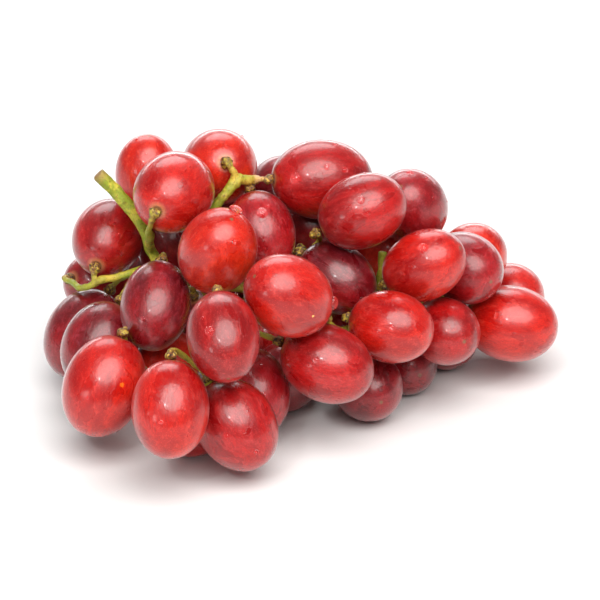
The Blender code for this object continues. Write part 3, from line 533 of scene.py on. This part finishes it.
def stem_material():
    """Fresh green stem, ochre and speckled brown towards the berries, with a dark crust where they join."""
    nodes = Nodes("stem_skin")
    place = nodes.place()
    patches = nodes.noise(place, STEM_CLOUDS, 4.0, 0.6, 0.5)
    colour = nodes.mix(nodes.ramp(patches, 0.46, 0.66), STEM_GREEN, STEM_YELLOW)
    ochre = nodes.times(nodes.value("ripe"), nodes.ramp(patches, 0.36, 0.60, 0.45, 1.0), clamp=True)
    colour = nodes.mix(ochre, colour, STEM_OCHRE)
    fibre = nodes.noise(place, STEM_FIBRES, 4.0, 0.75)
    colour = nodes.mix(nodes.ramp(fibre, 0.53, 0.68, 0.0, 0.75), colour, STEM_BROWN)
    freckles = nodes.cells(place, STEM_FRECKLES)
    colour = nodes.mix(nodes.ramp(freckles, 0.10, 0.24, 0.7, 0.0), colour, STEM_BROWN)
    warty = nodes.value("warty")
    crust = nodes.ramp(nodes.noise(place, STEM_CRUST, 3.0, 0.6), 0.40, 0.52)
    colour = nodes.mix(nodes.times(warty, crust, clamp=True), colour, STEM_BROWN)
    pits = nodes.ramp(nodes.noise(place, STEM_PITS, 2.0, 0.6), 0.50, 0.58)
    colour = nodes.mix(nodes.times(warty, pits, clamp=True), colour, STEM_DARK)
    torn = nodes.times(nodes.value("torn"), nodes.ramp(fibre, 0.40, 0.56, 1.0, 0.2), clamp=True)
    colour = nodes.mix(torn, colour, TORN_WOOD)
    colour = nodes.mix(nodes.value("cut_end"), colour, CUT_WOOD)
    nodes.finish(colour, STEM_SHADER)
    nodes.bump(nodes.math("ADD", fibre, nodes.noise(place, STEM_GRAIN, 2.0, 0.5)), *STEM_BUMP)
    return nodes.material


def clouded_material(name, scale, shades, shader):
    """A material of two like shades in soft clouds."""
    nodes = Nodes(name)
    clouds = nodes.ramp(nodes.noise(nodes.place(), scale), 0.3, 0.7)
    nodes.finish(nodes.mix(clouds, *shades), shader)
    return nodes.material


def point_values(mesh, name):
    """The place or the normal of each point of a mesh, as rows of three numbers."""
    values = np.zeros(len(mesh.vertices) * 3)
    mesh.vertices.foreach_get(name, values)
    return values.reshape(-1, 3)


def link_mesh(name, mesh, material):
    """Links a smooth mesh with one material, which finds its patterns by the places stored on the mesh."""
    if "place" not in mesh.attributes:
        stored = mesh.attributes.new("place", "FLOAT_VECTOR", "POINT")
        stored.data.foreach_set("vector", point_values(mesh, "co").reshape(-1))
    mesh.materials.append(material)
    mesh.polygons.foreach_set("use_smooth", [True] * len(mesh.polygons))
    piece = bpy.data.objects.new(name, mesh)
    bpy.context.scene.collection.objects.link(piece)
    return piece


def mesh_from(bm, name):
    """A mesh made of what was built, which is then freed."""
    mesh = bpy.data.meshes.new(name)
    bm.to_mesh(mesh)
    bm.free()
    return mesh


def solid_corners(node):
    """The corners of a solid, in metres."""
    return np.array([vert.co[:] for vert in node.data.vertices])


def fit_oval(points):
    """The middle and the matrix of the oval through most points. A dimple's points are left out in turn."""
    for turn in range(FIT_ROUNDS):
        x, y, z = points.T
        terms = np.stack([x * x, y * y, z * z, 2 * y * z, 2 * x * z, 2 * x * y, x, y, z], axis=1)
        found = np.linalg.lstsq(terms, np.ones(len(points)), rcond=None)[0]
        form = np.array([[found[0], found[5], found[4]], [found[5], found[1], found[3]],
                         [found[4], found[3], found[2]]])
        centre = np.linalg.solve(form, -found[6:9] / 2)
        form = form / (1.0 + centre @ form @ centre)
        level = np.einsum("ij,jk,ik->i", points - centre, form, points - centre)
        keep = np.abs(level - 1.0) < FIT_SLACK
        if keep.all():
            break
        points = points[keep]
    return centre, form


def fit_berry(node, stem_points):
    """A berry as an oval, found from its solid's corners that are above the floor."""
    points = np.unique(solid_corners(node).round(8), axis=0)
    shift = points.mean(axis=0)
    lifted = points[:, 2] > FLOOR_SLACK
    centre, form = fit_oval((points[lifted] - shift) * FIT_SCALE)
    spread, ways = np.linalg.eigh(form)
    sizes = 1.0 / np.sqrt(spread) / FIT_SCALE
    axis = ways[:, 0]
    centre = centre / FIT_SCALE + shift
    tips = [centre + axis * sizes[0], centre - axis * sizes[0]]
    near = [np.linalg.norm(stem_points - tip, axis=1).min() for tip in tips]
    if near[1] < near[0]:
        axis = -axis
    wide = (sizes[1] + sizes[2]) / 2 / ROUNDING
    return Berry(Vector(centre), Vector(axis), float(sizes[0]), float(wide))


def axes_of(berry):
    """A rotation that turns +Z to the berry's stem end."""
    return berry.axis.to_track_quat("Z", "Y").to_matrix()


def in_berry(berry, place):
    """A place as seen from the berry's middle, with its stem end along +Z."""
    return axes_of(berry).inverted() @ (place - berry.centre)


def in_sizes(berry, local):
    """A place in the berry, divided by half its width and length."""
    return Vector((local.x / berry.wide, local.y / berry.wide, local.z / berry.long))


def surface_point(berry, start, way):
    """Where a ray first meets a berry, and the way straight out of it there, or None if it misses."""
    turn = axes_of(berry).inverted()
    squeeze = Matrix.Diagonal((1 / berry.wide, 1 / berry.wide, 1 / berry.long))
    origin = squeeze @ (turn @ (start - berry.centre))
    run = squeeze @ (turn @ way)
    half = origin.dot(run)
    under = half * half - run.dot(run) * (origin.dot(origin) - 1.0)
    if under < 0.0:
        return None
    distance = (-half - math.sqrt(under)) / run.dot(run)
    out = squeeze @ (origin + run * distance)
    return start + way * distance, (turn.inverted() @ out).normalized()


def berry_mesh(name, berry, seed):
    """A smooth berry, slightly uneven, with a dimple at its stem end and a scar at its nose."""
    turn = axes_of(berry)
    bm = bmesh.new()
    stem_end = bm.verts.layers.float.new("stem_end")
    scar = bm.verts.layers.float.new("scar")
    lower_side = bm.verts.layers.float.new("lower_side")
    own_place = bm.verts.layers.float_vector.new("place")
    offset = Vector([seed * step for step in LUMP_STEP])
    wide = berry.wide * PLUMP

    def vertex(angle, around):
        flat = math.sin(angle)
        way = Vector((flat * math.cos(around), flat * math.sin(around), math.cos(angle)))
        lump = 1.0 + LUMPS * noise.noise(way * LUMP_SCALE + offset)
        place = Vector((way.x * wide, way.y * wide, way.z * berry.long)) * lump
        out = math.hypot(place.x, place.y) / MM
        if way.z > 0:
            place.z -= DIMPLE_DEPTH * MM * math.exp(-(out / DIMPLE_WIDTH) ** 2)
        else:
            place.z += SCAR_DEPTH * MM * math.exp(-(out / SCAR_WIDTH) ** 2)
        world = berry.centre + turn @ place
        world.z = max(world.z, 0.0)
        made = bm.verts.new(world)
        made[own_place] = place
        # Painted light: how much of the painted glow a point takes, most where it faces the way of the glow.
        made[lower_side] = max(0.0, (turn @ way).dot(PAINTED_GLOW_SIDE)) ** PAINTED_GLOW_FALL
        made[stem_end] = math.exp(-(out / RING_WIDTH) ** 2) if way.z > 0 else 0.0
        made[scar] = math.exp(-(out / SCAR_WIDTH) ** 2) if way.z < 0 else 0.0
        return made

    rings = []
    for ring in range(1, RINGS):
        angle = math.pi * ring / RINGS
        rings.append([vertex(angle, 2 * math.pi * k / SIDES) for k in range(SIDES)])
    top = vertex(0.0, 0.0)
    nose = vertex(math.pi, 0.0)
    for k in range(SIDES):
        after = (k + 1) % SIDES
        bm.faces.new((top, rings[0][k], rings[0][after]))
        bm.faces.new((nose, rings[-1][after], rings[-1][k]))
        for ring, below in zip(rings[:-1], rings[1:]):
            bm.faces.new((ring[k], below[k], below[after], ring[after]))
    return mesh_from(bm, name)


def speck_on(name, berry):
    """The single speck on a berry, if it has one: its place in the berry, its radius and its colour."""
    wanted = SPECKS.get(name.replace("berry_", ""))
    if not wanted:
        return None
    across_pixel, down_pixel, radius, colour = wanted
    place = surface_point(berry, *pixel_ray(across_pixel, down_pixel))[0]
    return in_berry(berry, place), radius * MM, colour


def add_berry(name, berry, look, seed):
    """One smooth berry in place of its solid. Its look is a tone, wax and dusk."""
    material = skin_material(f"{name}_skin", look, seed, speck_on(name, berry))
    piece = link_mesh(f"{name}_fruit", berry_mesh(name, berry, seed), material)
    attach(piece, "root")
    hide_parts(name)


def smooth_stem(node):
    """The solid stem as a fine, rounded mesh."""
    mesh = node.data.copy()
    mesh.name = "stem_shape"
    mesh.materials.clear()
    rough = bpy.data.objects.new("stem_shape", mesh)
    bpy.context.scene.collection.objects.link(rough)
    weld = rough.modifiers.new("weld", "WELD")
    weld.merge_threshold = STEM_WELD * MM
    remesh = rough.modifiers.new("remesh", "REMESH")
    remesh.mode = "VOXEL"
    remesh.voxel_size = STEM_VOXEL * MM
    smooth = rough.modifiers.new("smooth", "SMOOTH")
    smooth.factor = STEM_SMOOTH_SHARE
    smooth.iterations = STEM_SMOOTH_ROUNDS
    shaped = rough.evaluated_get(bpy.context.evaluated_depsgraph_get())
    fine = bpy.data.meshes.new_from_object(shaped)
    bpy.data.objects.remove(rough)
    fine.name = "stem"
    return fine


def noise_at(points, scale):
    """Smooth noise at each point, from about -1 to 1."""
    return np.array([noise.noise(Vector(point) * scale) for point in points])


def away_from(points, place, reach):
    """How far each point is from a place in the photograph's view, in reaches."""
    return np.linalg.norm(points - np.array(from_view(*place)), axis=1) / (reach * MM)


def berry_distance(points, berries):
    """How far each point is from the nearest stem end of a berry, in metres."""
    near = np.full(len(points), 1.0)
    for berry in berries.values():
        tip = np.array(berry.centre + berry.axis * berry.long)
        near = np.minimum(near, np.linalg.norm(points - tip, axis=1))
    return near


def add_stem(node, berries):
    """The stem with warts where the berries join it and a stouter star, in place of its solid."""
    mesh = smooth_stem(node)
    points = point_values(mesh, "co")
    near = berry_distance(points, berries)
    ripe = np.exp(-(near / (RIPE_REACH * MM)) ** 2)
    warty = np.exp(-(near / (WART_REACH * MM)) ** 4)
    patches = np.clip(noise_at(points, STEM_PATCHES) - PATCH_EDGE, 0.0, 1.0) * PATCH_GAIN
    warty = np.clip(warty + patches, 0.0, 1.0)
    bumps = noise_at(points, STEM_WARTS)
    ridges = noise_at(points, STEM_RIDGES)
    warts = warty * np.clip(bumps + WART_LIFT, -PIT_DEPTH, 1.0)
    height = WART_HEIGHT * (warts + RIDGE_SHARE * ridges) + STEM_PLUMP
    star = np.exp(-away_from(points, STAR_PLACE, STAR_REACH) ** 2)
    height += STAR_PLUMP * star * (1.0 + STAR_BUMPS * bumps)
    points += point_values(mesh, "normal") * height[:, None] * MM
    points[:, 2] = np.maximum(points[:, 2], 0.0)
    mesh.vertices.foreach_set("co", points.reshape(-1))
    cut_end = np.clip(CUT_EDGE - away_from(points, STALK_END, CUT_REACH), 0.0, 1.0)
    torn = np.exp(-away_from(points, TORN_PLACE, TORN_REACH) ** 4)
    for name, values in {"warty": warty, "ripe": ripe, "cut_end": cut_end, "torn": torn}.items():
        mesh.attributes.new(name, "FLOAT", "POINT").data.foreach_set("value", values)
    mesh.update()
    piece = link_mesh("stem_grown", mesh, stem_material())
    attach(piece, "root")
    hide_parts("stem")


def add_drop(bm, place, out, radius, seed):
    """Adds one water drop: a low dome with a soft foot, slightly out of round."""
    side = out.orthogonal().normalized()
    other = out.cross(side)
    rings = []
    for width, height in DROP_LEVELS:
        ring = []
        for k in range(DROP_SIDES):
            around = 2 * math.pi * k / DROP_SIDES
            turned = Vector((math.cos(around), math.sin(around), seed * DROP_STEP))
            reach = width * radius * (1.0 + DROP_LUMPS * noise.noise(turned))
            flat = (side * math.cos(around) + other * math.sin(around)) * reach
            ring.append(bm.verts.new(place + flat + out * height * radius))
        rings.append(ring)
    top = bm.verts.new(place + out * DROP_TOP * radius)
    foot = bm.verts.new(place - out * DROP_FOOT * radius)
    for k in range(DROP_SIDES):
        after = (k + 1) % DROP_SIDES
        bm.faces.new((foot, rings[0][after], rings[0][k]))
        bm.faces.new((top, rings[-1][k], rings[-1][after]))
        for ring, above in zip(rings[:-1], rings[1:]):
            bm.faces.new((ring[k], ring[after], above[after], above[k]))


def shown_drop(berry, across_pixel, down_pixel):
    """Where a drop of the photograph stands on its berry, and the way out there."""
    start, way = pixel_ray(across_pixel, down_pixel)
    middle = (berry.centre - start).normalized()
    for share in np.linspace(0.0, DROP_SHIFT, DROP_STEPS):
        found = surface_point(berry, start, way.lerp(middle, float(share)).normalized())
        if found:
            return found
    return None


def scattered_drops(berries):
    """Small drops here and there over all berries: berry, place, way out and radius."""
    chance = np.random.default_rng(CHANCE_SEED)
    drops = []
    for name, berry in berries.items():
        for count in range(int(chance.integers(FEWEST_DROPS, MOST_DROPS + 1))):
            way = Vector(chance.normal(size=3)).normalized()
            radius = float(chance.uniform(*DROP_RADII))
            turn = axes_of(berry)
            local = turn.inverted() @ way
            if way.z < LOWEST_WAY or abs(local.z) > NEAREST_END:
                continue
            place = Vector((local.x * berry.wide, local.y * berry.wide, local.z * berry.long)) * PLUMP
            out = turn @ in_sizes(berry, local).normalized()
            drops.append((name, berry.centre + turn @ place, out, radius))
    return drops


def is_free(name, place, radius, berries):
    """Whether a drop on one berry keeps clear of all the others."""
    for other, berry in berries.items():
        if other == name:
            continue
        room = in_sizes(berry, in_berry(berry, place)).length - 1.0
        if room * berry.wide < radius * DROP_ROOM:
            return False
    return True


def add_water(name, drops, water):
    """The drops on one berry, as one piece. Water this clear throws no shadow."""
    bm = bmesh.new()
    for number, (place, out, radius) in enumerate(drops):
        add_drop(bm, place, out, radius * MM, number)
    piece = link_mesh(name + "_water", mesh_from(bm, name + "_water"), water)
    piece.visible_shadow = False
    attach(piece, "root")


def add_drops(berries):
    """All water drops: those that the photograph shows, then those scattered by chance."""
    drops = {name: [] for name in berries}
    for short_name, across_pixel, down_pixel, radius in DROPS:
        name = "berry_" + short_name
        found = shown_drop(berries[name], across_pixel, down_pixel)
        if found:
            drops[name].append((*found, radius))
    for name, place, out, radius in scattered_drops(berries):
        if is_free(name, place + out * radius * MM * DROP_MIDDLE, radius * MM, berries):
            drops[name].append((place, out, radius))
    water = clouded_material("water", WATER_CLOUDS, WATER_TINTS, WATER_SHADER)
    for name, mine in drops.items():
        if mine:
            add_water(name, mine, water)


def add_floor():
    """A plain pale floor."""
    bm = bmesh.new()
    bmesh.ops.create_grid(bm, x_segments=1, y_segments=1, size=FLOOR_REACH)
    material = clouded_material("floor", FLOOR_CLOUDS, FLOOR_SHADES, FLOOR_SHADER)
    floor = link_mesh("floor", mesh_from(bm, "floor"), material)


def main():
    """Builds the scene: the studio, the berries, the stem, the water and the floor."""
    set_world()
    add_camera()
    for name, light in LIGHTS.items():
        add_light(name, *light)
    stem_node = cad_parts["stem"]
    stem_points = solid_corners(stem_node)
    berries = {}
    for name in sorted(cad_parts):
        if name != "stem":
            berries[name] = fit_berry(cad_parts[name], stem_points)
    for seed, (name, berry) in enumerate(berries.items()):
        look = LOOKS.get(name.replace("berry_", ""), OTHER_LOOKS[seed % len(OTHER_LOOKS)])
        add_berry(name, berry, look, seed + 1)
    add_stem(stem_node, berries)
    add_drops(berries)
    add_floor()


main()
